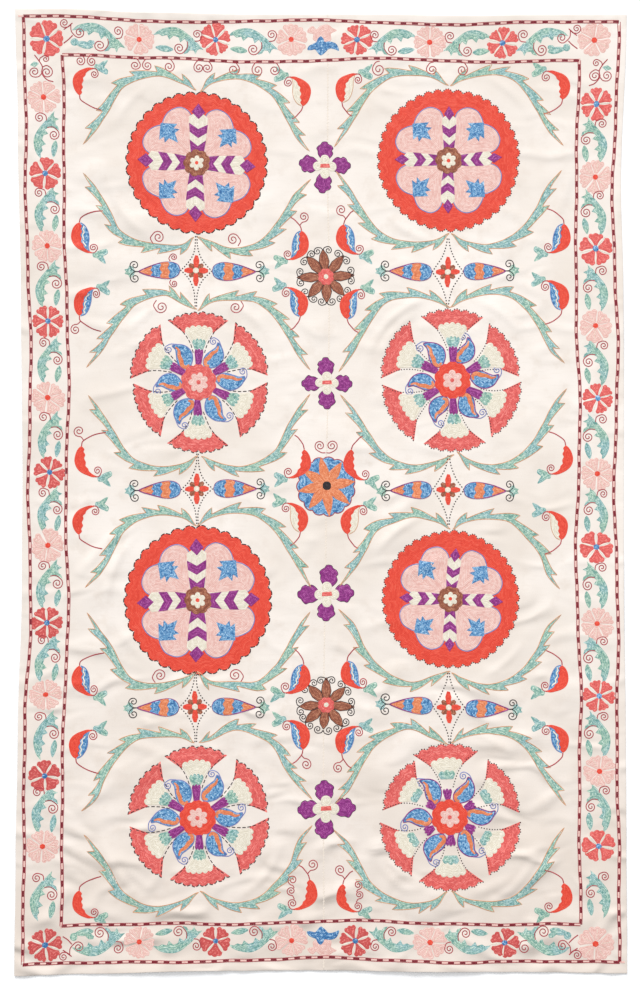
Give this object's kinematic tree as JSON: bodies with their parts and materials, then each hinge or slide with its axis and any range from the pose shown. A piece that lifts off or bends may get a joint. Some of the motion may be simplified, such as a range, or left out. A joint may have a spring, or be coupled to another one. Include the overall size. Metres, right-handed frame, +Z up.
{
  "type": "suzani embroidered textile",
  "caption": "Rectangular silk cloth in two panels with a centre seam, embroidered with rosettes in leaf wreaths and a flowering border, lying flat with soft folds.",
  "frame": {"origin": "middle of the cloth, on the surface it lies on", "axes": "+Z up out of the embroidered face, +Y along the length to the top edge of the design, +X to the right"},
  "size_m": [1.4, 2.21, 0.0079],
  "materials": {
    "ivory_silk": "satin-woven silk with a soft sheen",
    "scarlet_thread": "silk chain stitch",
    "coral_thread": "silk chain stitch",
    "pink_thread": "silk chain stitch",
    "blue_thread": "silk chain stitch",
    "teal_thread": "silk chain stitch",
    "purple_thread": "silk chain stitch",
    "brown_thread": "silk chain stitch",
    "orange_thread": "silk chain stitch",
    "cream_thread": "silk chain stitch",
    "gold_thread": "silk chain stitch line",
    "maroon_thread": "silk chain stitch line",
    "rose_thread": "silk chain stitch line",
    "slate_thread": "silk chain stitch line",
    "black_thread": "silk chain stitch line"
  },
  "bodies": {
    "root": {"panel_left": "ivory_silk", "panel_right": "ivory_silk"}
  },
  "joints": []
}
